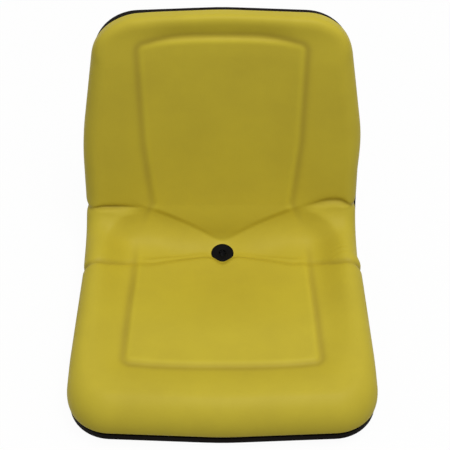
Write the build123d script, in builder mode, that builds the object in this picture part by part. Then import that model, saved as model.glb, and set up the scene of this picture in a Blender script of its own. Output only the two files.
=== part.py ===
"""High-back operator seat of a garden tractor.

A foam cushion with a bonded vinyl skin sits in a pressed steel pan. A channel trim grips the
flange of the pan under the cushion, a drain leads water out of the crease between seat and
back, and nuts welded in the pan take the mounting bolts.

Millimetres, +Z up, +X to the operator's left, +Y to the back of the seat. The origin lies
on the underside of the pan, at the centre of the mounting bolts.
"""

import os
from math import cos, radians, sin, sqrt, tan
from typing import NamedTuple

from build123d import *

# Outline of the cushion at its fullest line. Half widths are measured from the middle.
seat_depth = 439.0
back_length = 436.0
recline = 13.0
corner_radius = 105.0
front_half_width = 249.0
waist_half_width = 234.0
top_half_width = 201.0
front_bow = 11.0
top_bow = 8.0
bow_radius = 600.0
front_corner_radius = 72.0
top_corner_radius = 80.0
waist_bend_radius = 250.0
back_straight = 200.0
back_bend_radius = 620.0

# Cushion, as heights above the rim
seat_crown = 66.0
back_crown = 42.0
crown_bend_radius = 42.0
crown_radius = 27.0
tuck = 6.0

# Panels between the bolsters
panel_half_width = 148.0
panel_front_half_width = 162.0
panel_top_half_width = 147.0
panel_front_border = 91.0
panel_top_border = 38.0
panel_corner_radius = 20.0
seat_panel_floor = 46.0
back_panel_floor = 28.0
panel_bend_radius = 60.0
bolster_slope = 9.0
seat_pillow_height = 54.0
back_pillow_height = 36.0
pillow_edge = 6.0
pillow_groove = 5.0
seat_pillow_rear = 120.0
seat_pillow_bow = 20.0
seat_dish_run = 155.0
seat_dish_drop = 22.0
lumbar_half_width = 124.0
lumbar_start = 78.0
lumbar_drop = 74.0

# Hollow of the crease
valley_height = 10.0
valley_half_width = 24.0
valley_side_height = 30.0
valley_run = 40.0

# Pressed steel pan
seat_pan_depth = 26.0
back_pan_depth = 14.0
pan_bend_radius = 125.0
pan_inset = 14.0
pan_chamfer = 9.0
sheet = 1.6
flange_inset = 4.0
bead_height = 5.0
bead_width = 26.0
bead_pitch = 110.0
bead_count = 2
bead_length = 230.0
bead_start = 140.0

# Mounting bolts
bolt_spacing_x = 285.0
bolt_spacing_y = 230.0
bolts_to_bend = 31.0
bolt_hole_radius = 4.5
nut_across_flats = 13.0
nut_height = 6.5
nut_bore_radius = 4.1
nut_pocket = 18.0

# Edge trim
trim_inset = 3.0
trim_grip = 6.0
trim_upper_leg = 3.5
trim_lower_leg = 6.4

# Drain
drain_angle = 12.4
drain_flange_radius = 19.0
drain_flange_thickness = 3.0
drain_flange_edge = 1.0
drain_sleeve_radius = 10.0
drain_bore_radius = 6.5

# Fits
slip = 0.2
touch = 0.01
spare = 10.0

# Bend of the rim plane, which is flat under the seat and flat again up the back
turn = 90.0 - recline
sin_recline = sin(radians(recline))
cos_recline = cos(radians(recline))
half_turn_tangent = tan(radians(turn / 2))


class Level(NamedTuple):
    """A surface that follows the rim plane: its heights on seat and back, and the radius between."""

    seat: float
    back: float
    radius: float


def even_level(height):
    """Surface at one height above the rim all along."""
    return Level(height, height, corner_radius - height)


def meeting_point(level):
    """Distances from the crease, forward and up the back, to where the two flats would meet."""
    forward = (level.back - level.seat * sin_recline) / cos_recline
    return forward, level.seat * cos_recline - forward * sin_recline


rim_level = even_level(0)
crown_level = Level(seat_crown, back_crown, crown_bend_radius)
clear_level = Level(seat_crown + spare, back_crown + spare, crown_bend_radius - spare)
panel_level = Level(seat_panel_floor, back_panel_floor, panel_bend_radius)
pan_under = Level(-seat_pan_depth, -back_pan_depth, pan_bend_radius)
pan_inside = Level(sheet - seat_pan_depth, sheet - back_pan_depth, pan_bend_radius - sheet)
trim_low = even_level(-sheet - trim_lower_leg)
trim_high = even_level(trim_upper_leg)

# Stretch round the crease where every surface bends, and where all outlines have straight sides
all_levels = [rim_level, crown_level, clear_level, panel_level, pan_under, pan_inside]
bend_forward = max(meeting_point(level)[0] + level.radius * half_turn_tangent for level in all_levels) + slip
bend_upward = max(meeting_point(level)[1] + level.radius * half_turn_tangent for level in all_levels) + slip

# Place of the rim plane: the bend starts behind the rear bolts
bend_y = bolt_spacing_y / 2 + bolts_to_bend
crease_y = bend_y + bend_forward
front_y = crease_y - seat_depth
tangent_y = crease_y - corner_radius * half_turn_tangent
rim_z = seat_pan_depth
arc_z = rim_z + corner_radius
back_plane = Plane(origin=(0, crease_y, rim_z), x_dir=(1, 0, 0), z_dir=(0, -cos_recline, sin_recline))
beyond = 2 * (seat_depth + back_length)


class Outline(NamedTuple):
    """Two flat outlines that meet at the crease, where both are equally wide."""

    half_width: float
    seat_points: list
    seat_radii: list
    back_points: list
    back_radii: list


def both_sides(points):
    """Points from one side round to the other, the last one given being on the middle."""
    return points + [(-x, y) for x, y in reversed(points[:-1])]


def bowed_outline(half_width, front_half, front, front_radius, top_half, top, top_radius):
    """Outline with straight sides at the crease, a bowed front edge and a bowed top edge."""
    side_length = bend_y - front - front_bow
    flare = abs(front_half - half_width)
    waist_bend = (side_length - sqrt(side_length**2 - 2 * waist_bend_radius * flare)) / 2
    waist = bend_y - waist_bend - slip
    return Outline(
        half_width=half_width,
        seat_points=both_sides(
            [(half_width, crease_y), (half_width, waist), (front_half, front + front_bow), (0, front)]
        ),
        seat_radii=[waist_bend_radius, front_radius, bow_radius, front_radius, waist_bend_radius],
        back_points=both_sides(
            [(half_width, 0), (half_width, back_straight), (top_half, top - top_bow), (0, top)]
        ),
        back_radii=[back_bend_radius, top_radius, bow_radius, top_radius, back_bend_radius],
    )


panel_front_y = front_y + panel_front_border
panel_top = back_length - panel_top_border

rim = bowed_outline(
    half_width=waist_half_width,
    front_half=front_half_width,
    front=front_y,
    front_radius=front_corner_radius,
    top_half=top_half_width,
    top=back_length,
    top_radius=top_corner_radius,
)
panel = bowed_outline(
    half_width=panel_half_width,
    front_half=panel_front_half_width,
    front=panel_front_y,
    front_radius=panel_corner_radius,
    top_half=panel_top_half_width,
    top=panel_top,
    top_radius=panel_corner_radius,
)


def outline_face(points, radii, inset=0.0, end_bow=0.0):
    """Rounded outline, drawn in by the inset, closed by a straight or bowed end."""
    with BuildSketch() as face:
        with BuildLine():
            FilletPolyline(points, radius=radii)
            if end_bow:
                SagittaArc(points[-1], points[0], end_bow)
            else:
                Line(points[-1], points[0])
        make_face()
        if inset:
            offset(amount=-inset, kind=Kind.INTERSECTION)
    return face.sketch


def bend_path(level):
    """Points of a surface round the crease, in the side view."""
    forward, upward = meeting_point(level)
    up_the_back = back_plane.from_local_coords((0, bend_upward, level.back))
    return [
        (bend_y, rim_z + level.seat),
        (crease_y - forward, rim_z + level.seat),
        (up_the_back.Y, up_the_back.Z),
    ]


def bent_form(outline, inset, low, high):
    """Solid between two surfaces that follow the rim plane, its outline drawn in by the inset."""
    with BuildPart() as form:
        with BuildSketch(Plane.XY.offset(rim_z + low.seat)):
            add(outline_face(outline.seat_points, outline.seat_radii, inset))
            with Locations((0, bend_y)):
                Rectangle(beyond, beyond, align=(Align.CENTER, Align.MAX), mode=Mode.INTERSECT)
        extrude(amount=high.seat - low.seat)
        with BuildSketch(Plane.YZ):
            with BuildLine():
                lower = FilletPolyline(bend_path(low), radius=[low.radius])
                upper = FilletPolyline(bend_path(high), radius=[high.radius])
                Line(lower @ 0, upper @ 0)
                Line(lower @ 1, upper @ 1)
            make_face()
        extrude(amount=outline.half_width - inset, both=True)
        with BuildSketch(back_plane.offset(low.back)):
            add(outline_face(outline.back_points, outline.back_radii, inset))
            with Locations((0, bend_upward)):
                Rectangle(beyond, beyond, align=(Align.CENTER, Align.MIN), mode=Mode.INTERSECT)
        extrude(amount=high.back - low.back)
    return form.part


def follows(face, level):
    """Whether a face is part of a surface that follows the rim plane."""
    if face.geom_type == GeomType.CYLINDER:
        along_crease = face.axis_of_rotation.is_parallel(Axis.X)
        return along_crease and abs(face.radius - level.radius) < touch
    if face.geom_type != GeomType.PLANE:
        return False
    planes = (Plane.XY.offset(rim_z + level.seat), back_plane.offset(level.back))
    return any(face.is_coplanar(plane) for plane in planes)


def level_edges(part, level):
    """Edges round the outside and the openings of a surface that follows the rim plane."""
    edges = [edge for face in part.faces() if follows(face, level) for edge in face.edges()]
    return ShapeList(edge for edge in edges if sum(edge.is_same(other) for other in edges) == 1)


def seat_pillow():
    """Raised panel of the seat, its rear edge bowed towards the drain."""
    front = panel_front_y + pillow_groove
    points = both_sides(
        [
            (panel_half_width - pillow_groove, crease_y - seat_pillow_rear),
            (panel_front_half_width - pillow_groove, front + front_bow),
            (0, front),
        ]
    )
    with BuildPart() as pillow:
        with BuildSketch(Plane.XY.offset(rim_z)):
            add(outline_face(points, [panel_corner_radius, bow_radius, panel_corner_radius], 0, seat_pillow_bow))
        extrude(amount=seat_pillow_height)
        chamfer(pillow.faces().sort_by(Axis.Z)[-1].edges(), pillow_edge)
    return pillow.part


def seat_dish():
    """Fall of the seat panel towards the drain."""
    rear = crease_y - seat_pillow_rear + seat_pillow_bow
    top = rim_z + seat_pillow_height
    with BuildPart() as dish:
        with BuildSketch(Plane.YZ):
            with BuildLine():
                Polyline((rear - seat_dish_run, top), (rear, top - seat_dish_drop), (rear, top), close=True)
            make_face()
        extrude(amount=panel_front_half_width, both=True)
        add(bent_form(panel, 0, rim_level, clear_level), mode=Mode.INTERSECT)
    return dish.part


def back_pillow():
    """Raised panel of the back, its lumbar end hanging down towards the drain in a curve."""
    top = panel_top - pillow_groove
    points = both_sides(
        [
            (lumbar_half_width, lumbar_start),
            (panel_top_half_width - pillow_groove, top - top_bow),
            (0, top),
        ]
    )
    above_rim = bent_form(rim, pan_inset, rim_level, crown_level)
    with BuildPart() as pillow:
        with BuildSketch(back_plane):
            add(outline_face(points, [panel_corner_radius, bow_radius, panel_corner_radius], 0, -lumbar_drop))
        extrude(amount=back_pillow_height)
        chamfer(pillow.faces().sort_by(Axis(back_plane.origin, back_plane.z_dir))[-1].edges(), pillow_edge)
        add(above_rim, mode=Mode.INTERSECT)
    return pillow.part


def crease_valley():
    """Hollow of the crease, deepest at the drain and shallow at its sides."""
    top = seat_crown - corner_radius
    side = valley_side_height - corner_radius
    bed = valley_height - corner_radius
    across = Plane(origin=(0, tangent_y, arc_z), x_dir=(1, 0, 0), z_dir=(0, -1, 0))
    with BuildPart() as hollow:
        with BuildSketch(across) as section:
            with BuildLine():
                Polyline(
                    (-panel_half_width, top),
                    (-panel_half_width, side),
                    (-valley_half_width, bed),
                    (valley_half_width, bed),
                    (panel_half_width, side),
                    (panel_half_width, top),
                    close=True,
                )
            make_face()
        extrude(amount=valley_run)
        revolve(section.sketch, axis=Axis((0, tangent_y, arc_z), (1, 0, 0)), revolution_arc=turn)
    return hollow.part


# Axis of the drain, square to the arc of the rim
drain_turn = radians(drain_angle)
drain_foot = (0, tangent_y + corner_radius * sin(drain_turn), arc_z - corner_radius * cos(drain_turn))
drain_plane = Plane(origin=drain_foot, x_dir=(1, 0, 0), z_dir=(0, -sin(drain_turn), cos(drain_turn)))
drain_side_plane = Plane(origin=drain_foot, x_dir=(1, 0, 0), z_dir=(0, -cos(drain_turn), -sin(drain_turn)))


def drain_cylinder(radius, low, high):
    """Cylinder on the axis of the drain, between two heights above the rim."""
    with BuildPart() as cylinder:
        with BuildSketch(drain_plane.offset(low)):
            Circle(radius)
        extrude(amount=high - low)
    return cylinder.part


bead_place = Location((0, bead_start + bead_length / 2))


def stiffening_beads(room):
    """Long beads pressed into the back of the pan, with room all round."""
    with BuildPart() as beads:
        with BuildSketch(back_plane.offset(-back_pan_depth)):
            with Locations(bead_place):
                with GridLocations(bead_pitch, 1, bead_count, 1):
                    SlotOverall(bead_length + 2 * room, bead_width + 2 * room, rotation=90)
        extrude(amount=bead_height + room)
    return beads.part


bolt_places = GridLocations(bolt_spacing_x, bolt_spacing_y, 2, 2)

# Pressed steel pan: a bent tray with a flange, beads, bolt holes and a drain hole
inner_chamfer = pan_chamfer - (2 - sqrt(2)) * sheet
pan_shape = bent_form(rim, pan_inset, pan_under, rim_level)
pan_room = bent_form(rim, pan_inset + sheet, pan_inside, rim_level)
pan_room = pan_room.chamfer(inner_chamfer, None, level_edges(pan_room, pan_inside))
flange = bent_form(rim, flange_inset, even_level(-sheet), rim_level)
bead_tops = stiffening_beads(sheet)
bead_hollows = stiffening_beads(0)
drain_hole = drain_cylinder(drain_sleeve_radius + slip, -2 * seat_pan_depth, seat_crown)

with BuildPart() as seat_pan:
    add(pan_shape)
    chamfer(level_edges(seat_pan.part, pan_under), pan_chamfer)
    add(flange)
    add(pan_room, mode=Mode.SUBTRACT)
    add(bead_tops)
    add(bead_hollows, mode=Mode.SUBTRACT)
    add(drain_hole, mode=Mode.SUBTRACT)
    with BuildSketch(Plane.XY):
        with bolt_places:
            Circle(bolt_hole_radius)
    extrude(amount=sheet, mode=Mode.SUBTRACT)

# Weld nuts on the floor of the pan
with BuildPart() as weld_nuts:
    with BuildSketch(Plane.XY.offset(sheet)):
        with bolt_places:
            RegularPolygon(nut_across_flats / 2, 6, major_radius=False)
            Circle(nut_bore_radius, mode=Mode.SUBTRACT)
    extrude(amount=nut_height)

# Cushion: bolsters round two raised panels, resting on the trim and on the floor of the pan
pocket = bent_form(panel, 0, panel_level, clear_level)
pan_fill = bent_form(rim, pan_inset + sheet + inner_chamfer, pan_inside, trim_high)
seat_panel = seat_pillow()
seat_fall = seat_dish()
back_panel = back_pillow()
hollow = crease_valley()
drain_seat = drain_cylinder(drain_flange_radius + slip, valley_height, seat_crown)
bead_field = bead_pitch * (bead_count - 1) + bead_width + 2 * sheet

with BuildPart() as cushion:
    add(bent_form(rim, 0, trim_high, crown_level))
    add(pocket, mode=Mode.SUBTRACT)
    bolster_edges = level_edges(cushion.part, crown_level)
    chamfer(bolster_edges.filter_by(lambda edge: edge.distance_to(pocket) < touch), bolster_slope)
    crown_edges = level_edges(cushion.part, crown_level)
    fillet(crown_edges.filter_by(lambda edge: edge.distance_to(pocket) > bolster_slope + touch), crown_radius)
    chamfer(level_edges(cushion.part, trim_high), tuck)
    add(hollow, mode=Mode.SUBTRACT)
    add(seat_panel)
    add(seat_fall, mode=Mode.SUBTRACT)
    add(back_panel)
    add(pan_fill)
    add(drain_seat, mode=Mode.SUBTRACT)
    add(drain_hole, mode=Mode.SUBTRACT)
    with BuildSketch(back_plane.offset(-back_pan_depth)):
        with Locations(bead_place):
            Rectangle(bead_field, bead_length + 2 * sheet)
    extrude(amount=sheet + bead_height, mode=Mode.SUBTRACT)
    with BuildSketch(Plane.XY.offset(sheet)):
        with bolt_places:
            Rectangle(nut_pocket, nut_pocket)
    extrude(amount=nut_height, mode=Mode.SUBTRACT)

# Edge trim: a channel that grips the flange
trim_opening = bent_form(rim, flange_inset + trim_grip, trim_low, trim_high)
trim_slot = bent_form(rim, flange_inset - slip, even_level(-sheet), rim_level)

with BuildPart() as edge_trim:
    add(bent_form(rim, trim_inset, trim_low, trim_high))
    add(trim_opening, mode=Mode.SUBTRACT)
    add(trim_slot, mode=Mode.SUBTRACT)

# Drain grommet: a flanged sleeve through cushion and pan
drain_top = valley_height + drain_flange_thickness

with BuildPart() as drain_grommet:
    with BuildSketch(drain_side_plane):
        with BuildLine():
            Polyline(
                (drain_bore_radius, drain_top),
                (drain_flange_radius - drain_flange_edge, drain_top),
                (drain_flange_radius, valley_height),
                (drain_sleeve_radius, valley_height),
                (drain_sleeve_radius, -seat_pan_depth),
                (drain_bore_radius, -seat_pan_depth),
                close=True,
            )
        make_face()
    revolve(axis=Axis(drain_plane.origin, drain_plane.z_dir))

pieces = {
    "cushion": cushion,
    "seat_pan": seat_pan,
    "edge_trim": edge_trim,
    "drain_grommet": drain_grommet,
    "weld_nuts": weld_nuts,
}

os.makedirs("parts", exist_ok=True)
for name, piece in pieces.items():
    piece.part.label = name
    export_step(piece.part, f"parts/{name}.step")
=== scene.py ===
# %% [markdown]
# # Operator seat
# A high-back seat of a garden tractor: foam under a yellow vinyl skin, held in a black steel pan.
# The solids come in first and stay where they are. Every piece made here shares their frame, in
# metres, with +Z up and +Y to the back of the seat.

# %% Load the solids
from math import cos, pi, radians, sin, tan

import bpy
import numpy as np
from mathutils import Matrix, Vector


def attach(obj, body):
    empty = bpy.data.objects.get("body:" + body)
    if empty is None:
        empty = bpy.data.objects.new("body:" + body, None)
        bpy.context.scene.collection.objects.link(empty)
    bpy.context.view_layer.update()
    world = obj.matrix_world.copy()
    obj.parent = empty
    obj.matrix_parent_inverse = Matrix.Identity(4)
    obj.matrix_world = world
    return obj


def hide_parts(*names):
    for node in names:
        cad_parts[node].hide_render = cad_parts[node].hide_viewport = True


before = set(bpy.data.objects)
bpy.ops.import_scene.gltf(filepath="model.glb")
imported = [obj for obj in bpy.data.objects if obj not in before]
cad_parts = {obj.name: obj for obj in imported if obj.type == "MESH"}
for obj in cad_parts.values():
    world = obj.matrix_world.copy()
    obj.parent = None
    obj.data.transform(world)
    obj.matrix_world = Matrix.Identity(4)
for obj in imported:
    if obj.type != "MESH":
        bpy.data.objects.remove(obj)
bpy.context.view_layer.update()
print("nodes:", sorted(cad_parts))

# %% [markdown]
# ## The bent sheet that the seat is laid out on
# The cushion, the trim and the pan all follow one surface: flat under the operator, rolled
# through the crease, and flat again up the back. It is easiest to draw the cushion on that
# surface unrolled, with x across, s along from the front edge to the top, and n as the height
# above it. One function then rolls the drawing up.

# %% Roll up a drawing
MM = 0.001
SEAT_LENGTH = 439.0        # front edge to crease
BACK_LENGTH = 436.0        # crease to top edge
CREASE_Y = 237.26
RIM_HEIGHT = 26.0
ROLL_RADIUS = 105.0
RECLINE = radians(13.0)

ROLL = pi / 2 - RECLINE
ROLL_TANGENT = ROLL_RADIUS * tan(ROLL / 2)
FRONT_Y = CREASE_Y - SEAT_LENGTH
ROLL_START = SEAT_LENGTH - ROLL_TANGENT
ROLL_END = ROLL_START + ROLL_RADIUS * ROLL
TOP = ROLL_END + BACK_LENGTH - ROLL_TANGENT


def roll_angle(s):
    """How far the sheet has turned at a place along it."""
    return np.clip((s - ROLL_START) / ROLL_RADIUS, 0.0, ROLL)


def rolled(x, s, n):
    """Points in the seat's frame, in metres, from places on the unrolled sheet in millimetres."""
    angle = roll_angle(s)
    before = np.minimum(s - ROLL_START, 0.0)
    after = np.maximum(s - ROLL_END, 0.0)
    reach = ROLL_RADIUS - n
    y = FRONT_Y + ROLL_START + before + reach * np.sin(angle) + after * sin(RECLINE)
    z = RIM_HEIGHT + ROLL_RADIUS - reach * np.cos(angle) + after * cos(RECLINE)
    return np.stack([x, y, z], axis=-1) * MM


roll_range = [round(ROLL_START, 1), round(ROLL_END, 1)]
print("unrolled length, mm:", round(TOP, 1), "rolled between", roll_range)

# %% [markdown]
# ## Small tools for shaping
# A moulded cushion has no hard lines. Soft steps, soft ridges and rounded joints between heights
# are enough to describe all of it, so these few functions do the work of the mould.

# %% Shaping tools


def soft_step(low, high, value):
    """0 below low, 1 above high and a smooth rise between."""
    t = np.clip((value - low) / (high - low), 0.0, 1.0)
    return t * t * (3.0 - 2.0 * t)


def ridge(value, width):
    """A bell of height 1 round zero."""
    return np.exp(-((value / width) ** 2))


def mixed(a, b, share):
    """From a to b."""
    return a + (b - a) * share


def lower_of(a, b, softness):
    """The lower of two heights, with the corner between them rounded."""
    gap = np.maximum(softness - np.abs(a - b), 0.0)
    return np.minimum(a, b) - gap * gap / (4.0 * softness)


def higher_of(a, b, softness):
    """The higher of two heights, with the corner between them filled."""
    return -lower_of(-a, -b, softness)


def distance_outside(x, s, corners, rounding):
    """Distance outside a polygon with rounded corners, negative inside."""
    ring = np.asarray(corners, dtype=float)
    nearest = np.full(np.shape(x), 1e9)
    inside = np.zeros(np.shape(x), dtype=bool)
    for (x0, s0), (x1, s1) in zip(ring, np.roll(ring, -1, axis=0)):
        dx, ds = x1 - x0, s1 - s0
        share = np.clip(((x - x0) * dx + (s - s0) * ds) / (dx * dx + ds * ds), 0.0, 1.0)
        nearest = np.minimum(nearest, np.hypot(x - x0 - share * dx, s - s0 - share * ds))
        if ds:
            inside ^= ((s0 > s) != (s1 > s)) & (x < x0 + dx * (s - s0) / ds)
    return np.where(inside, -nearest, nearest) - rounding


# %% [markdown]
# ## Outline of the cushion
# Seen unrolled, the cushion is a long shield: wide at the front, a little narrower at the waist,
# and drawn in towards a rounded top. The outline is noted down as a pattern maker would do it, by
# its corners and their radii.

# %% Draw the outline
WAIST_HALF = 234.0
RIGHT_SIDE = [             # x, s, radius of the corner, from the front to the top
    (249.0, 11.0, 72.0),
    (WAIST_HALF, 319.0, 250.0),
    (WAIST_HALF, ROLL_END + 116.5, 620.0),
    (201.0, TOP - 8.0, 80.0),
]
LEFT_SIDE = [(-x, s, radius) for x, s, radius in reversed(RIGHT_SIDE)]
CORNERS = [(0.0, 0.0, 600.0), *RIGHT_SIDE, (0.0, TOP, 600.0), *LEFT_SIDE]
FINE = 0.5                 # distance between the points of the outline


def rounded_outline(corners):
    """Dense points round a closed outline, and the number of the point in the middle of each corner."""
    places = np.array([corner[:2] for corner in corners])
    arriving = places - np.roll(places, 1, axis=0)
    arriving /= np.linalg.norm(arriving, axis=1)[:, None]
    leaving = np.roll(arriving, -1, axis=0)
    arcs = []
    for place, way, onward, (_, _, radius) in zip(places, arriving, leaving, corners):
        turn = np.arctan2(way[0] * onward[1] - way[1] * onward[0], way @ onward)
        signed = radius * np.sign(turn)
        start = place - way * radius * tan(abs(turn) / 2)
        angles = np.linspace(0.0, turn, int(abs(turn) * radius / FINE) + 8)
        along = signed * np.sin(angles)
        aside = signed * (1.0 - np.cos(angles))
        arcs.append(start + np.outer(along, way) + np.outer(aside, (-way[1], way[0])))
    points, middles = [], []
    for arc, following in zip(arcs, arcs[1:] + arcs[:1]):
        middles.append(len(points) + len(arc) // 2)
        points.extend(arc)
        run = np.linalg.norm(following[0] - arc[-1])
        points.extend(np.linspace(arc[-1], following[0], int(run / FINE) + 2)[1:-1])
    return np.array(points), middles


outline, corner_middles = rounded_outline(CORNERS)
heading = np.roll(outline, -1, axis=0) - np.roll(outline, 1, axis=0)
outward = np.stack([heading[:, 1], -heading[:, 0]], axis=-1)
outward /= np.linalg.norm(outward, axis=1)[:, None]
print("outline points:", len(outline), "widest, mm:", round(2 * outline[:, 0].max(), 1))

# %% [markdown]
# ## A net for the skin
# The skin needs a mesh whose lines run along the rim, or the rounded edge shows steps. So the
# border is made of rings that follow the outline, and the middle is a square net that takes
# over from the last ring. The net is closer at the waist, where the folds are. A few rounds of
# averaging spread the squares evenly.

# %% Lay out the net
ACROSS, ALONG = 144, 336
BORDER = 36.0              # depth of the ringed border
WAIST_MIDDLE, WAIST_REACH = 425.0, 110.0
EVENING_ROUNDS = 60


def net_places():
    """Places on the dense outline, as fractions, going round from the front left corner."""
    inset = outline - BORDER * outward
    steps = [np.linalg.norm(np.roll(ring, -1, axis=0) - ring, axis=1) for ring in (outline, inset)]
    effort = sum(steps) * (1.0 + ridge(outline[:, 1] - WAIST_MIDDLE, WAIST_REACH))
    travel = np.concatenate([[0.0], np.cumsum(np.tile(effort, 2))])
    front_right, back_right = corner_middles[1], corner_middles[4]
    back_left, front_left = corner_middles[6], corner_middles[9]
    round_trip = len(outline)
    stops = [front_left, front_right + round_trip, back_right + round_trip, back_left + round_trip]
    stops.append(front_left + round_trip)
    places = []
    for first, last, count in zip(stops, stops[1:], (ACROSS, ALONG, ACROSS, ALONG)):
        targets = np.linspace(travel[first], travel[last], count + 1)[:-1]
        places.append(np.interp(targets, travel, np.arange(len(travel))))
    return np.concatenate(places)


def sampled(values, places):
    """Values of the dense outline at fractional places."""
    twice = np.concatenate([values, values, values[:1]])
    return np.stack([np.interp(places, np.arange(len(twice)), column) for column in twice.T], axis=-1)


places = net_places()
rim = sampled(outline, places)
rim_out = sampled(outward, places)
rim_out /= np.linalg.norm(rim_out, axis=1)[:, None]
LOOP = len(rim)


def net_inside(ring, rounds):
    """Square net that fills a ring, with its lines spread evenly."""
    front, right = ring[: ACROSS + 1], ring[ACROSS : ACROSS + ALONG + 1]
    back = ring[ACROSS + ALONG : 2 * ACROSS + ALONG + 1][::-1]
    left = np.concatenate([ring[2 * ACROSS + ALONG :], ring[:1]])[::-1]
    a = np.linspace(0.0, 1.0, ACROSS + 1)[None, :, None]
    b = np.linspace(0.0, 1.0, ALONG + 1)[:, None, None]
    net = (1 - b) * front[None] + b * back[None] + (1 - a) * left[:, None] + a * right[:, None]
    net -= (1 - b) * ((1 - a) * front[0] + a * front[-1]) + b * ((1 - a) * back[0] + a * back[-1])
    for _ in range(rounds):
        around = net[:-2, 1:-1] + net[2:, 1:-1] + net[1:-1, :-2] + net[1:-1, 2:]
        net[1:-1, 1:-1] = around / 4.0
    return net


inner_net = net_inside(rim - BORDER * rim_out, rounds=EVENING_ROUNDS)
print("ring of", LOOP, "points, net of", inner_net.shape[0], "by", inner_net.shape[1])

# %% [markdown]
# ## Form of the cushion
# The skin was drawn over a mould, and the foam was poured behind it. So its form is one height
# above the bent sheet at every place: full bolsters round the outside, a panel let into the seat
# and one into the back, each behind a soft groove, and between them a hollow that falls to the
# drain. Each feature is a line or two here, and its sizes stand in front.

# %% Height of the skin
SEAT_CROWN, BACK_CROWN = 66.0, 42.0
CROWN_END = ROLL_END + 20.0
CROWN_RADIUS, FRONT_RADIUS, TOP_RADIUS = 29.0, 52.0, 17.0
FRONT_ZONE, TOP_ZONE = (30.0, 140.0), (TOP - 90.0, TOP - 30.0)     # where the radius changes
SIDE_BLEND, TOP_BLEND = 3.0, 14.0      # softness where the inner slope meets the rounding

FOOT_LINE = [              # where the bolsters come down, right side, from the front to the top
    (158.0, 111.0),
    (150.0, 300.0),
    (146.0, 400.0),
    (119.0, 500.0),
    (131.0, 620.0),
    (136.0, TOP - 44.5),
]
FOOT_FRONT, FOOT_TOP = 104.0, TOP - 34.5
FOOT_ROUNDING = 14.0
BOW_POINTS, BOW_POWER = 13, 3
BOLSTER_RUN, HIP_RUN = 60.0, 34.0      # width of a bolster's inner slope, and what the hips add
HIP_MIDDLE, HIP_REACH = 475.0, 46.0
BOLSTER_FOOT = 5.0                     # width of the rounding at its foot
FRONT_CLIMB, TOP_CLIMB = (110.0, 190.0), (TOP - 120.0, TOP - 60.0)
SIDE_POWER, END_POWER = 1.2, 1.9       # the slopes are hollow at the sides and full at the ends

SEAT_GROOVE, BACK_GROOVE = 51.5, 29.5
SEAT_RISE, BACK_RISE = 5.0, 7.0        # panels above their grooves
PANEL_SHOULDER = 5.5
SEAT_BLEND, BACK_BLEND = 9.0, 12.0     # softness where the panels run into the hollow
FALL_START, FALL_END = 170.0, 345.0    # the seat panel drops towards the drain
FALL_SIDE, FALL_MIDDLE, FALL_WIDTH = 19.0, 30.0, 85.0
PANEL_REAR, PANEL_REAR_BOW, REAR_HALF = 333.0, 35.0, 120.0
REAR_ROUNDING, REAR_SLOPE, REAR_BLEND = 18.0, 1.2, 10.0
DRAIN_NOTCH, NOTCH_WIDTH = 20.0, 15.0  # the rear edge gives way to the drain

HOLLOW_BED, HOLLOW_SIDE, HOLLOW_LIFT = 13.6, 31.0, 10.0
HOLLOW_ACROSS, HOLLOW_POWER = (14.0, 165.0), 0.8
LIFT_ALONG, LIFT_ACROSS = (390.0, 490.0), (50.0, 140.0)
BEAD_BACK, BEAD_HEIGHT, BEAD_WIDTH = 14.0, 2.6, 5.0
BEAD_START, BEAD_END = (20.0, 34.0), (115.0, 150.0)

LUMBAR_TIP, LUMBAR_END, LUMBAR_HALF = 406.0, 490.0, 122.0
LUMBAR_ROUNDING, LUMBAR_POWER = 26.0, 0.86
LUMBAR_SLOPE, LUMBAR_BLEND = 0.65, 5.0
LUMBAR_SWELL, SWELL_START, SWELL_POWER = 16.0, 600.0, 2.2
LUMBAR_STEP = 3.0                      # the hollow climbs to just below the lumbar end
LAP_SLOPE, LAP_BLEND = 0.24, 3.0


def bowed_edge(half, corner, middle):
    """Places along an edge that bows from its corners to its middle, from left to right."""
    shares = np.linspace(-1.0, 1.0, BOW_POINTS)
    return [(x * half, mixed(middle, corner, abs(x) ** BOW_POWER)) for x in shares]


def foot_polygon():
    """Foot of the bolsters all round, drawn in by the rounding of its corners."""
    right = [(x - FOOT_ROUNDING, s) for x, s in FOOT_LINE]
    front = bowed_edge(right[0][0], right[0][1] + FOOT_ROUNDING, FOOT_FRONT + FOOT_ROUNDING)
    top = bowed_edge(right[-1][0], right[-1][1] - FOOT_ROUNDING, FOOT_TOP - FOOT_ROUNDING)
    left = [(-x, s) for x, s in reversed(right[1:-1])]
    return [*front, *right[1:-1], *reversed(top), *left]


def crown_height(s):
    """Top of the bolsters, lower up the back than round the seat."""
    return mixed(SEAT_CROWN, BACK_CROWN, soft_step(ROLL_START, CROWN_END, s))


def panel_rear(x):
    """Place of the seat panel's rear edge, bowed towards the back and notched for the drain."""
    bowed = PANEL_REAR_BOW * np.maximum(1.0 - np.hypot(x, REAR_ROUNDING) / REAR_HALF, 0.0)
    return PANEL_REAR + bowed - DRAIN_NOTCH * ridge(x, NOTCH_WIDTH)


def seat_height(x, s, shoulder):
    """Seat panel, which falls towards the drain and ends in a bowed rear edge."""
    fall = mixed(FALL_SIDE, FALL_MIDDLE, ridge(x, FALL_WIDTH)) * soft_step(FALL_START, FALL_END, s)
    panel = SEAT_GROOVE - fall + SEAT_RISE * shoulder
    return lower_of(panel, panel + REAR_SLOPE * (panel_rear(x) - s), REAR_BLEND)


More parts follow.
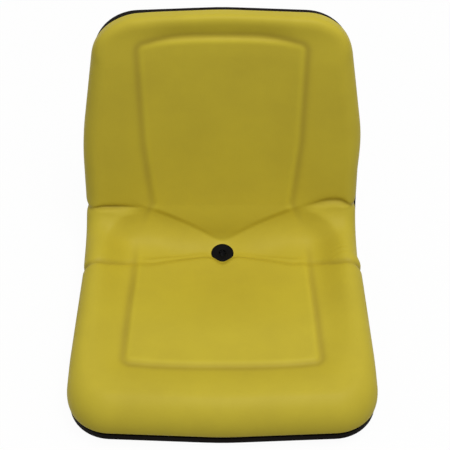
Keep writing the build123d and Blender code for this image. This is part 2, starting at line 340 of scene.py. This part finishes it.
def back_panel(s, shoulder):
    """Back panel, a plane that swells a little towards its lumbar end."""
    lean = ROLL - roll_angle(s)
    plane = ROLL_RADIUS - (ROLL_RADIUS - BACK_GROOVE) / np.cos(lean) + BACK_RISE * shoulder
    to_tip = np.maximum(SWELL_START - s, 0.0) / (SWELL_START - LUMBAR_TIP)
    return plane + LUMBAR_SWELL * to_tip**SWELL_POWER


def lumbar_line(x):
    """Place where the back panel ends, lowest in the middle, above the drain."""
    reach = np.hypot(x, LUMBAR_ROUNDING) - LUMBAR_ROUNDING
    full = np.hypot(LUMBAR_HALF, LUMBAR_ROUNDING) - LUMBAR_ROUNDING
    return mixed(LUMBAR_TIP, LUMBAR_END, (reach / full) ** LUMBAR_POWER)


def back_height(x, s, shoulder):
    """Back panel with its lumbar end, and the lap of the hollow that climbs to it."""
    panel, tip = back_panel(s, shoulder), lumbar_line(x)
    ended = lower_of(panel, panel + LUMBAR_SLOPE * (s - tip), LUMBAR_BLEND)
    lap = back_panel(tip, 1.0) - LUMBAR_STEP - LAP_SLOPE * np.abs(tip - s)
    return higher_of(ended, lap, LAP_BLEND)


def hollow_height(x, s):
    """Bed of the hollow round the drain, with a bead on either side of it."""
    across = np.abs(x)
    bed = mixed(HOLLOW_BED, HOLLOW_SIDE, soft_step(*HOLLOW_ACROSS, across) ** HOLLOW_POWER)
    bed += HOLLOW_LIFT * soft_step(*LIFT_ALONG, s) * soft_step(*LIFT_ACROSS, across)
    beside_drain = soft_step(*BEAD_START, across) * (1.0 - soft_step(*BEAD_END, across))
    return bed + BEAD_HEIGHT * ridge(s - panel_rear(x) - BEAD_BACK, BEAD_WIDTH) * beside_drain


def bolster_climb(s, outside):
    """Share of the way up from the panels to the crown, by distance outside the foot."""
    up_slope = (outside + np.hypot(outside, BOLSTER_FOOT)) / 2.0 - BOLSTER_FOOT / 4.0
    run = BOLSTER_RUN + HIP_RUN * ridge(s - HIP_MIDDLE, HIP_REACH)
    share = np.clip(up_slope / run, 0.0, 1.0)
    at_ends = np.maximum(soft_step(*TOP_CLIMB, s), 1.0 - soft_step(*FRONT_CLIMB, s))
    return mixed(soft_step(0.0, 1.0, share) ** SIDE_POWER, 1.0 - (1.0 - share) ** END_POWER, at_ends)


def skin_height(x, s, inset):
    """Height of the skin above the bent sheet, by place and by distance in from the outline."""
    crown = crown_height(s)
    outside = distance_outside(x, s, foot_polygon(), FOOT_ROUNDING)
    shoulder = 1.0 - ridge(np.minimum(outside, 0.0), PANEL_SHOULDER)
    middle = higher_of(hollow_height(x, s), seat_height(x, s, shoulder), SEAT_BLEND)
    middle = higher_of(middle, back_height(x, s, shoulder), BACK_BLEND)
    n = middle + (crown - middle) * bolster_climb(s, outside) + folds(x, s)

    to_top = soft_step(*TOP_ZONE, s)
    radius = mixed(FRONT_RADIUS, CROWN_RADIUS, soft_step(*FRONT_ZONE, s))
    radius = mixed(radius, TOP_RADIUS, to_top)
    from_edge = np.minimum(inset, radius) - radius
    rounded_edge = crown - radius + np.sqrt(radius**2 - from_edge**2)
    return lower_of(n, rounded_edge, mixed(SIDE_BLEND, TOP_BLEND, to_top))


# %% [markdown]
# ## Folds at the waist
# Where the sheet bends, the skin of the bolsters has more length than it needs, and it gathers in
# two folds that bound a soft hip. The folds aren't quite alike: the right one climbs a little on
# its way out, and small wrinkles lie in front of it. Foam and skin also draw in from the trim
# there.

# %% Folds
UPPER_FOLD, LOWER_FOLD = 491.0, 318.0
UPPER_DEPTH, LOWER_DEPTH = 6.5, 5.0
FOLD_WIDTH = 6.0
FOLDED_PART = (130.0, 190.0)           # across, where the folds come in
OUTER_PART = (200.0, 236.0)            # and where they turn down to the edge
UPPER_DROP, LOWER_DROP = 9.0, 3.0
RIGHT_CLIMB, CLIMB_PLACE, CLIMB_REACH = 14.0, 190.0, 45.0
INNER_RISE, INNER_PART = 24.0, (150.0, 205.0)
HIP_SWELL, HIP_RISE, HIP_FALL = 7.0, (45.0, 140.0), 26.0
WRINKLE_PLACE, WRINKLE_REACH, WRINKLE_PART = 345.0, 14.0, (170.0, 205.0)
WRINKLE_PITCH, WRINKLE_HEIGHT = 11.0, 0.8

UPPER_PULL, UPPER_REACH = 3.0, 9.0     # how far the folds draw the edge in
LOWER_PULL, LOWER_REACH = 5.0, 5.0
RIGHT_PULL, RIGHT_PART = 4.5, (-50.0, 50.0)
PULL_START, PULL_END = (325.0, 345.0), (540.0, 640.0)
CORNER_PULL, CORNER_REACH = 1.5, 38.0
CORNER_X, CORNER_S = -165.0, TOP - 14.0
TOP_PUSH, PUSH_ALONG, PUSH_ACROSS = 1.8, (TOP - 70.0, TOP - 25.0), (-200.0, -100.0)


def fold_lines(x):
    """Places along the sheet of the upper and of the lower fold."""
    across = np.abs(x)
    outer = soft_step(*OUTER_PART, across)
    upper = UPPER_FOLD + RIGHT_CLIMB * ridge(x - CLIMB_PLACE, CLIMB_REACH) - UPPER_DROP * outer
    lower = LOWER_FOLD + INNER_RISE * (1.0 - soft_step(*INNER_PART, across)) - LOWER_DROP * outer
    return upper, lower


def folds(x, s):
    """Height that the folds, the hip between them and the small wrinkles add."""
    upper, lower = fold_lines(x)
    cuts = UPPER_DEPTH / (1.0 + ((s - upper) / FOLD_WIDTH) ** 2)
    cuts += LOWER_DEPTH / (1.0 + ((s - lower) / FOLD_WIDTH) ** 2)
    rise_start, rise_end = HIP_RISE
    hip = soft_step(lower + rise_start, lower + rise_end, s)
    hip *= 1.0 - soft_step(upper - HIP_FALL, upper, s)
    waves = np.cos((s - WRINKLE_PLACE) * 2.0 * pi / WRINKLE_PITCH)
    wrinkles = waves * ridge(s - WRINKLE_PLACE, WRINKLE_REACH) * soft_step(*WRINKLE_PART, x)
    return soft_step(*FOLDED_PART, np.abs(x)) * (HIP_SWELL * hip - cuts + WRINKLE_HEIGHT * wrinkles)


def edge_pull(x, s):
    """How far the cushion is drawn in from its outline, below 0 where it stands out."""
    upper, lower = fold_lines(x)
    pull = UPPER_PULL * ridge(s - upper, UPPER_REACH) + LOWER_PULL * ridge(s - lower, LOWER_REACH)
    waist = soft_step(*PULL_START, s) * (1.0 - soft_step(*PULL_END, s))
    pull += RIGHT_PULL * soft_step(*RIGHT_PART, x) * waist
    pull += CORNER_PULL * ridge(np.hypot(x - CORNER_X, s - CORNER_S), CORNER_REACH)
    return pull - TOP_PUSH * soft_step(*PUSH_ALONG, s) * soft_step(*PUSH_ACROSS, x)


# %% [markdown]
# ## Cushion
# The rings climb the side wall, round the crown and hand over to the net. Underneath, the skin
# turns in over the trim, and a plain net closes the form, so that it is a solid cushion and not
# an open shell.

# %% Build the cushion
WALL_FOOT = 3.8            # just above the trim
SEAT_TUCK, BACK_TUCK = 11.0, 5.0       # how far the skin turns in at its foot
SEAT_TUCK_HEIGHT, BACK_TUCK_HEIGHT = 18.0, 9.0
TUCK_CHANGE = (ROLL_START - 60.0, ROLL_END - 60.0)
UNDERSIDE_INSET = 16.0
WALL_RINGS, WALL_POWER = 12, 1.3        # the rings are closer near the trim
CROWN_TURNS = np.radians(np.linspace(0.0, 90.0, 13))
LAST_RING = 32.0
COARSE = 6                 # the hidden underside takes every sixth point
OUTLINE_STRIDE = 16        # and the distance to the rim needs no more than every sixteenth
SEAT_FILL, BACK_FILL = -18.0, -6.0     # the foam reaches down into the pan


class Skin:
    """Points and faces of a mesh while it grows."""

    def __init__(self):
        self.points, self.faces, self.count = [], [], 0

    def add(self, points):
        """Adds points and returns their numbers."""
        flat = np.reshape(points, (-1, 3))
        numbers = np.arange(self.count, self.count + len(flat)).reshape(np.shape(points)[:-1])
        self.points.append(flat)
        self.count += len(flat)
        return numbers

    def join_rings(self, outer, inner):
        """Faces between two rings with as many points."""
        ahead = np.roll(np.arange(len(outer)), -1)
        self.faces.extend(np.stack([outer, outer[ahead], inner[ahead], inner], axis=-1).tolist())

    def fill_net(self, net):
        """Faces of a square net."""
        corners = [net[:-1, :-1], net[:-1, 1:], net[1:, 1:], net[1:, :-1]]
        self.faces.extend(np.stack(corners, axis=-1).reshape(-1, 4).tolist())

    def mesh_object(self, name):
        """A smooth mesh object of what was added."""
        mesh = bpy.data.meshes.new(name)
        mesh.from_pydata(np.concatenate(self.points).tolist(), [], self.faces)
        mesh.polygons.foreach_set("use_smooth", [True] * len(mesh.polygons))
        mesh.update()
        piece = bpy.data.objects.new(name, mesh)
        bpy.context.collection.objects.link(piece)
        return piece


def build_cushion():
    """The cushion as one closed mesh, and the place on the sheet of each of its points."""
    skin, laid = Skin(), []

    def lay(x, s, n):
        """Adds points by their places on the sheet and notes those down."""
        laid.append(np.stack([x, s], axis=-1).reshape(-1, 2))
        return skin.add(rolled(x, s, n))

    def ring_at(inset, n):
        """Adds a ring at a distance in from the outline."""
        pulled = inset + edge_pull(rim[:, 0], rim[:, 1]) * np.clip(1.0 - inset / BORDER, 0.0, 1.0)
        flat = rim - pulled[:, None] * rim_out
        return lay(flat[:, 0], flat[:, 1], n)

    none = np.zeros(LOOP)
    edge = skin_height(rim[:, 0], rim[:, 1], none)
    up_back = soft_step(*TUCK_CHANGE, rim[:, 1])
    tuck = mixed(SEAT_TUCK, BACK_TUCK, up_back)
    tuck_height = np.minimum(mixed(SEAT_TUCK_HEIGHT, BACK_TUCK_HEIGHT, up_back), edge - WALL_FOOT)
    underside = ring_at(none + UNDERSIDE_INSET, none + WALL_FOOT)
    last = underside
    for share in np.linspace(0.0, 1.0, WALL_RINGS + 1):
        n = mixed(WALL_FOOT, edge, share**WALL_POWER)
        tucked = tuck * np.clip(1.0 - (n - WALL_FOOT) / tuck_height, 0.0, 1.0) ** 2
        ring = ring_at(tucked, n)
        skin.join_rings(last, ring)
        last = ring
    insets = [*(CROWN_RADIUS * (1.0 - np.cos(CROWN_TURNS[1:]))), LAST_RING]
    for inset in insets:
        flat = rim - inset * rim_out
        ring = ring_at(none + inset, skin_height(flat[:, 0], flat[:, 1], none + inset))
        skin.join_rings(last, ring)
        last = ring
    x, s = inner_net[..., 0], inner_net[..., 1]
    net = lay(x, s, skin_height(x, s, -distance_outside(x, s, outline[::OUTLINE_STRIDE], 0.0)))
    skin.fill_net(net)
    around = np.concatenate([net[0, :-1], net[:-1, -1], net[-1, :0:-1], net[:0:-1, 0]])
    skin.join_rings(last, around)

    coarse = net_inside(rim - UNDERSIDE_INSET * rim_out, rounds=0)[::COARSE, ::COARSE]
    rows, columns = coarse.shape[:2]
    numbers = np.zeros((rows, columns), dtype=int)
    x, s = coarse[1:-1, 1:-1, 0], coarse[1:-1, 1:-1, 1]
    numbers[1:-1, 1:-1] = lay(x, s, mixed(SEAT_FILL, BACK_FILL, soft_step(ROLL_START, ROLL_END, s)))
    walk = [(0, c) for c in range(columns - 1)]
    walk += [(r, columns - 1) for r in range(rows - 1)]
    walk += [(rows - 1, c) for c in range(columns - 1, 0, -1)]
    walk += [(r, 0) for r in range(rows - 1, 0, -1)]
    between = {}
    for step, place in enumerate(walk):
        numbers[place] = underside[step * COARSE]
        following = walk[(step + 1) % len(walk)]
        between[place, following] = underside[step * COARSE + 1 : (step + 1) * COARSE].tolist()
    for r in range(rows - 1):
        for c in range(columns - 1):
            corners = [(r, c), (r, c + 1), (r + 1, c + 1), (r + 1, c)]
            face = []
            for place, following in zip(corners, corners[1:] + corners[:1]):
                face += [int(numbers[place]), *between.get((place, following), [])]
            skin.faces.append(face[::-1])
    return skin.mesh_object("vinyl_cushion"), np.concatenate(laid)


cushion, laid_places = build_cushion()
print("cushion:", len(cushion.data.vertices), "points,", len(cushion.data.polygons), "faces")

# %% [markdown]
# ## Grooves and their painted shade
# Shade falls in the grooves and folds of the skin, and the lips beside them catch the light. Both
# are painted into the colour: painted shade in the grooves and folds, a painted highlight on the
# lips. The material can't know where they are, so each point of the skin is told: it gets a
# number, 1 in the middle of a groove or fold, 0 on the open surface and below 0 on a lip. The
# material reads it as an attribute.

# %% Mark the painted shade of the grooves
GROOVE_PLACE, GROOVE_REACH = 1.0, 6.0  # outside the foot of the bolsters
# The lips get a painted highlight: the number goes below 0 there, which turns the colour lighter than
# the yellow.
LIP_PLACE, LIP_REACH, LIP_HIGHLIGHT_SHARE = -7.5, 4.5, 0.4
FOLD_REACH = 5.0
PLAIN_MIDDLE, PLAIN_REACH = 415.0, 75.0     # the hollow has no groove


def painted_shade_share(x, s):
    """How much painted shade a place gets: 1 in a groove or fold, below 0 for the painted highlight on a
    lip.
    """
    outside = distance_outside(x, s, foot_polygon(), FOOT_ROUNDING)
    round_panels = ridge(outside - GROOVE_PLACE, GROOVE_REACH)
    # Below 0 on the lips, for the painted highlight there.
    round_panels -= LIP_HIGHLIGHT_SHARE * ridge(outside - LIP_PLACE, LIP_REACH)
    upper, lower = fold_lines(x)
    in_folds = np.maximum(ridge(s - upper, FOLD_REACH), ridge(s - lower, FOLD_REACH))
    on_bolsters = soft_step(*FOLDED_PART, np.abs(x))
    return round_panels * (1.0 - ridge(s - PLAIN_MIDDLE, PLAIN_REACH)) + in_folds * on_bolsters


painted_shade_depth = painted_shade_share(laid_places[:, 0], laid_places[:, 1])
painted_shade_marks = cushion.data.attributes.new("groove", "FLOAT", "POINT")
painted_shade_marks.data.foreach_set("value", painted_shade_depth)
print("points in grooves:", int((painted_shade_depth > 0.5).sum()))

# %% [markdown]
# ## Colours and nodes
# Colours are written as sRGB hex values, as a paint card gives them, and turned to the linear
# values that the renderer wants. One small function adds a node with its settings and links, so
# that a material reads like a list.

# %% Colour and node helpers


def linear(hex_colour):
    """Linear RGBA from an sRGB hex value."""
    channels = [int(hex_colour[i : i + 2], 16) / 255.0 for i in (1, 3, 5)]
    return [c / 12.92 if c <= 0.04045 else ((c + 0.055) / 1.055) ** 2.4 for c in channels] + [1.0]


def node(owner, kind, settings=None, **inputs):
    """Adds a node: settings are its own properties, inputs are values or the sockets that feed it.

    An input is called by its name, or as _0, _1 and so on by its number.
    """
    made = owner.node_tree.nodes.new(kind)
    for name, value in (settings or {}).items():
        setattr(made, name, value)
    for name, value in inputs.items():
        key = int(name[1:]) if name[1:].isdigit() else name.replace("_", " ")
        socket = made.inputs[key]
        if isinstance(value, bpy.types.NodeSocket):
            owner.node_tree.links.new(value, socket)
        else:
            socket.default_value = value
    return made


def new_material(name):
    """An empty node material and its output."""
    material = bpy.data.materials.new(name)
    material.use_nodes = True
    material.node_tree.nodes.clear()
    return material, node(material, "ShaderNodeOutputMaterial")


def finish_material(material, output, shader):
    """Links the shader to the output."""
    material.node_tree.links.new(shader.outputs[0], output.inputs["Surface"])
    return material


# %% [markdown]
# ## Vinyl
# The skin is soft PVC sheet, calendered with a fine leather grain and then drawn over the mould
# while hot. That gives the eye a satin surface with broad, weak highlights and hardly any sparkle.
# Its colour is painted a little deeper in the grooves and folds, as painted shade, and a little
# lighter on the lips beside them, as a painted highlight. The real grain is about 1 mm wide, which
# is finer than a pixel here, so it is drawn at 2 mm to show at all.

# %% Make the vinyl
# The deep colour serves both the random clouds in the tone and the painted shade in the grooves and
# folds.
VINYL_YELLOW, VINYL_MOTTLE_AND_SHADE = "#c9b738", "#ab9733"
GRAIN_WIDTH, GRAIN_DEPTH = 2.0 * MM, 0.25 * MM
CLOUD_WIDTH = 90.0 * MM
CLOUD_LOW, CLOUD_HIGH = 0.3, 0.75      # part of the noise that is used
# The groove share is painted shade; the cloud share is random tone.
CLOUD_SHADE, GROOVE_PAINTED_SHADE = 0.3, 0.6   # share of the deep colour in clouds and in grooves
SATIN_LOW, SATIN_HIGH = 0.46, 0.56     # roughness


def make_vinyl():
    """Grained vinyl: cloudy tone, painted shade in the grooves, a painted highlight on the lips, satin.
    """
    material, output = new_material("yellow_pvc_vinyl_calendered")
    place = node(material, "ShaderNodeTexCoord").outputs["Object"]
    cloud = node(material, "ShaderNodeTexNoise", Vector=place, Scale=1.0 / CLOUD_WIDTH,
                 Detail=6.0, Roughness=0.6)
    shade = node(material, "ShaderNodeMapRange", Value=cloud.outputs["Fac"],
                 From_Min=CLOUD_LOW, From_Max=CLOUD_HIGH, To_Min=0.0, To_Max=CLOUD_SHADE)
    # The groove attribute paints shade into the grooves and folds; below 0 it paints a highlight on the
    # lips, since the mix is not clamped.
    groove = node(material, "ShaderNodeAttribute", {"attribute_name": "groove"})
    mottle_and_painted_shade = node(material, "ShaderNodeMath", {"operation": "MULTIPLY_ADD"},
                  _0=groove.outputs["Fac"], _1=GROOVE_PAINTED_SHADE, _2=shade.outputs["Result"])
    colour = node(material, "ShaderNodeMix", {"data_type": "RGBA", "clamp_factor": False},
                  Factor=mottle_and_painted_shade.outputs[0], _6=linear(VINYL_YELLOW), _7=linear(VINYL_MOTTLE_AND_SHADE))
    grain = node(material, "ShaderNodeTexVoronoi", {"feature": "SMOOTH_F1"}, Vector=place,
                 Scale=1.0 / GRAIN_WIDTH)
    relief = node(material, "ShaderNodeBump", Height=grain.outputs["Distance"], Strength=0.4,
                  Distance=GRAIN_DEPTH)
    gloss = node(material, "ShaderNodeMapRange", Value=cloud.outputs["Fac"],
                 From_Min=CLOUD_LOW, From_Max=CLOUD_HIGH, To_Min=SATIN_LOW, To_Max=SATIN_HIGH)
    shader = node(material, "ShaderNodeBsdfPrincipled", Base_Color=colour.outputs[2], IOR=1.53,
                  Roughness=gloss.outputs["Result"], Specular_IOR_Level=0.12,
                  Normal=relief.outputs["Normal"])
    return finish_material(material, output, shader)


vinyl = make_vinyl()
cushion.data.materials.append(vinyl)
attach(cushion, "root")
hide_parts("cushion")
print("cushion dressed in", vinyl.name)

# %% [markdown]
# ## Black pieces
# The pan is pressed sheet steel under a satin black stoving paint, which pulls to a faint orange
# peel as it dries. The trim is an extruded PVC channel, duller and softer than the paint, and the
# nuts are zinc plated. These solids have the right shape already and only take a finish.

# %% Finish the solids
PATCH_WIDTH = 60.0 * MM    # size of the uneven patches
GLOSS_SPREAD = 0.06


def make_speckled(name, colours, roughness, feature_width, relief_depth, metallic=0.0, sheen=0.5):
    """A hard surface with a fine relief and a little unevenness in tone and gloss."""
    material, output = new_material(name)
    clean, dusty = colours
    place = node(material, "ShaderNodeTexCoord").outputs["Object"]
    fine = node(material, "ShaderNodeTexNoise", Vector=place, Scale=1.0 / feature_width, Detail=2.0)
    broad = node(material, "ShaderNodeTexNoise", Vector=place, Scale=1.0 / PATCH_WIDTH, Detail=4.0)
    tone = node(material, "ShaderNodeMix", {"data_type": "RGBA"}, Factor=broad.outputs["Fac"],
                _6=linear(clean), _7=linear(dusty))
    gloss = node(material, "ShaderNodeMapRange", Value=broad.outputs["Fac"], From_Min=0.3,
                 From_Max=0.7, To_Min=roughness - GLOSS_SPREAD, To_Max=roughness + GLOSS_SPREAD)
    relief = node(material, "ShaderNodeBump", Height=fine.outputs["Fac"], Strength=0.3,
                  Distance=relief_depth)
    shader = node(material, "ShaderNodeBsdfPrincipled", Base_Color=tone.outputs[2],
                  Metallic=metallic, Roughness=gloss.outputs["Result"], Specular_IOR_Level=sheen,
                  Normal=relief.outputs["Normal"])
    return finish_material(material, output, shader)


FINISHES = {
    "seat_pan": make_speckled(
        "black_stoving_paint_on_steel", ("#0d0c0c", "#191817"), roughness=0.36,
        feature_width=2.5 * MM, relief_depth=0.06 * MM, sheen=0.3,
    ),
    "edge_trim": make_speckled(
        "black_pvc_extruded", ("#100c0a", "#171310"), roughness=0.75,
        feature_width=1.2 * MM, relief_depth=0.08 * MM, sheen=0.05,
    ),
    "weld_nuts": make_speckled(
        "zinc_plated_steel", ("#b9bcc0", "#9a9b98"), roughness=0.34,
        feature_width=0.8 * MM, relief_depth=0.03 * MM, metallic=1.0,
    ),
}
for name, finish in FINISHES.items():
    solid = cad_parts[name]
    solid.data.materials.clear()
    solid.data.materials.append(finish)
    print(name, "finished in", finish.name)

# %% [markdown]
# ## Drain grommet
# A push-in grommet of black polyethylene, injection moulded: a domed flange with a rounded edge,
# a dished middle and a bore. The profile is drawn once and turned round its axis. That is how
# the mould for it was made too.

# %% Turn the grommet
DRAIN_ANGLE = radians(12.4)
DRAIN_PROFILE = [          # radius and height above the bent sheet
    (6.5, -26.0), (6.5, 11.5), (5.8, 12.8), (5.6, 13.8), (6.0, 14.6), (7.4, 15.2),
    (9.5, 15.7), (12.0, 16.1), (15.0, 16.2), (17.4, 15.9), (18.9, 15.2), (19.7, 14.2),
    (19.9, 13.4), (19.7, 13.0), (10.0, 13.0), (10.0, -26.0),
]
HOLE_PROFILE = [(9.5, -60.0), (9.5, 60.0)]
DRAIN_TURNS = 72


def turned(name, profile, closed):
    """A piece turned round the axis of the drain, its ends filled unless the profile is closed."""
    skin = Skin()
    turns = np.linspace(0.0, 2.0 * pi, DRAIN_TURNS, endpoint=False)
    foot = rolled(np.array(0.0), np.array(ROLL_START + ROLL_RADIUS * DRAIN_ANGLE), np.array(0.0))
    up = np.array([0.0, -sin(DRAIN_ANGLE), cos(DRAIN_ANGLE)])
    aside = np.array([0.0, cos(DRAIN_ANGLE), sin(DRAIN_ANGLE)])
    rings = []
    for radius, height in profile:
        circle = np.outer(np.cos(turns), [radius, 0.0, 0.0])
        circle += np.outer(np.sin(turns), aside * radius)
        rings.append(skin.add(foot + (circle + up * height) * MM))
    following = rings[1:] + rings[:1] if closed else rings[1:]
    for ring, next_ring in zip(rings, following):
        skin.join_rings(*((next_ring, ring) if closed else (ring, next_ring)))
    if not closed:
        skin.faces += [rings[0][::-1].tolist(), rings[-1].tolist()]
    return skin.mesh_object(name)


def cut_hole(piece, drill):
    """Takes the drill's form out of a piece for good."""
    cut = piece.modifiers.new("drain_hole", "BOOLEAN")
    cut.object, cut.operation, cut.solver = drill, "DIFFERENCE", "EXACT"
    shaped = bpy.data.meshes.new_from_object(piece.evaluated_get(bpy.context.evaluated_depsgraph_get()))
    piece.modifiers.clear()
    piece.data = shaped
    bpy.data.objects.remove(drill)


cut_hole(cushion, turned("drain_drill", HOLE_PROFILE, closed=False))
print("cushion with its hole:", len(cushion.data.polygons), "faces")
grommet = turned("drain_ring", DRAIN_PROFILE, closed=True)
grommet.data.materials.append(make_speckled(
    "black_polyethylene_moulded", ("#0b0b0c", "#121212"), roughness=0.65,
    feature_width=1.0 * MM, relief_depth=0.05 * MM, sheen=0.05,
))
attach(grommet, "root")
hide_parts("drain_grommet")
print("grommet:", len(grommet.data.polygons), "faces")

# %% [markdown]
# ## Floor, light and camera
# The seat stands on a plain pale floor. To the camera the floor and the world are white, and the
# floor keeps a soft shadow. One large lamp high above, a little to the front and to the right,
# and a bright room all round give the soft studio light. The camera stands where the
# photographer's did.

# %% Set the stage
FLOOR_REACH, FLOOR_LEVEL = 6.0, -0.5 * MM
FLOOR_PALE = "#9a9a98"
SHADOW_KEPT, FLOOR_GLOW = 0.12, 1.09
WORLD_LIGHT = 0.43
KEY_PLACE, KEY_TARGET = (0.6, -0.6, 3.7), (0.0, 0.15, 0.15)
KEY_SIZE, KEY_POWER = 1.8, 72.0
WHITE = (1.0, 1.0, 1.0, 1.0)


def seen_share(owner):
    """Socket that is 1 for what is seen, straight or by way of gloss or glass, and 0 for other light."""
    rays = node(owner, "ShaderNodeLightPath").outputs
    straight = node(owner, "ShaderNodeMath", {"operation": "MAXIMUM"},
                    _0=rays["Is Camera Ray"], _1=rays["Is Glossy Ray"])
    seen = node(owner, "ShaderNodeMath", {"operation": "MAXIMUM"},
                _0=straight.outputs[0], _1=rays["Is Transmission Ray"])
    return seen.outputs[0]


def make_floor():
    """Pale floor that is seen as white but for its shadow."""
    mesh = bpy.data.meshes.new("floor")
    corners = [(x, y, FLOOR_LEVEL / FLOOR_REACH) for x, y in ((-1, -1), (1, -1), (1, 1), (-1, 1))]
    mesh.from_pydata([Vector(c) * FLOOR_REACH for c in corners], [], [(0, 1, 2, 3)])
    floor = bpy.data.objects.new("floor", mesh)
    bpy.context.collection.objects.link(floor)
    material, output = new_material("pale_studio_floor")
    share = node(material, "ShaderNodeMath", {"operation": "MULTIPLY"},
                 _0=seen_share(material), _1=1.0 - SHADOW_KEPT)
    pale = node(material, "ShaderNodeBsdfDiffuse", Color=linear(FLOOR_PALE))
    white = node(material, "ShaderNodeEmission", Color=WHITE, Strength=FLOOR_GLOW)
    both = node(material, "ShaderNodeMixShader", Fac=share.outputs[0],
                _1=pale.outputs[0], _2=white.outputs[0])
    mesh.materials.append(finish_material(material, output, both))


def make_world():
    """Room light that is seen as white."""
    world = bpy.data.worlds.new("studio")
    world.use_nodes = True
    world.node_tree.nodes.clear()
    output = node(world, "ShaderNodeOutputWorld")
    glow = node(world, "ShaderNodeBackground", Color=WHITE, Strength=WORLD_LIGHT)
    white = node(world, "ShaderNodeBackground", Color=WHITE, Strength=1.0)
    both = node(world, "ShaderNodeMixShader", Fac=seen_share(world),
                _1=glow.outputs[0], _2=white.outputs[0])
    world.node_tree.links.new(both.outputs[0], output.inputs["Surface"])
    bpy.context.scene.world = world


def make_key_lamp():
    """One round soft lamp."""
    lamp = bpy.data.lights.new("key_lamp", "AREA")
    lamp.shape, lamp.size, lamp.energy = "DISK", KEY_SIZE, KEY_POWER
    holder = bpy.data.objects.new("key_lamp", lamp)
    holder.location = KEY_PLACE
    beam = Vector(KEY_TARGET) - Vector(KEY_PLACE)
    holder.rotation_euler = beam.to_track_quat("-Z", "Y").to_euler()
    bpy.context.collection.objects.link(holder)


make_floor()
make_world()
make_key_lamp()

CAMERA_RISE = radians(49.0)
CAMERA_TURN = radians(0.1)
CAMERA_DISTANCE = 2.4
LENS_PIXELS, FRAME_PIXELS = 1403.0, 450.0
LOOK = Vector((0.0, 0.160, 0.060))
AIM_RIGHT, AIM_UP = 2.7, 27.2          # pixels from the looked-at point to the middle of the frame

camera = bpy.data.cameras.new("photo_camera")
camera.lens = LENS_PIXELS / FRAME_PIXELS * camera.sensor_width
viewer = bpy.data.objects.new("photo_camera", camera)
bpy.context.collection.objects.link(viewer)
level = cos(CAMERA_RISE)
toward = Vector((sin(CAMERA_TURN) * level, -cos(CAMERA_TURN) * level, sin(CAMERA_RISE)))
viewer.location = LOOK + toward * CAMERA_DISTANCE
right = Vector((cos(CAMERA_TURN), sin(CAMERA_TURN), 0.0))
up = toward.cross(right)
aim = LOOK + (right * AIM_RIGHT + up * AIM_UP) * (CAMERA_DISTANCE / LENS_PIXELS)
viewer.rotation_euler = (aim - viewer.location).to_track_quat("-Z", "Y").to_euler()
bpy.context.scene.camera = viewer
bpy.context.scene.view_settings.view_transform = "Standard"
print("lens, mm:", round(camera.lens, 2))
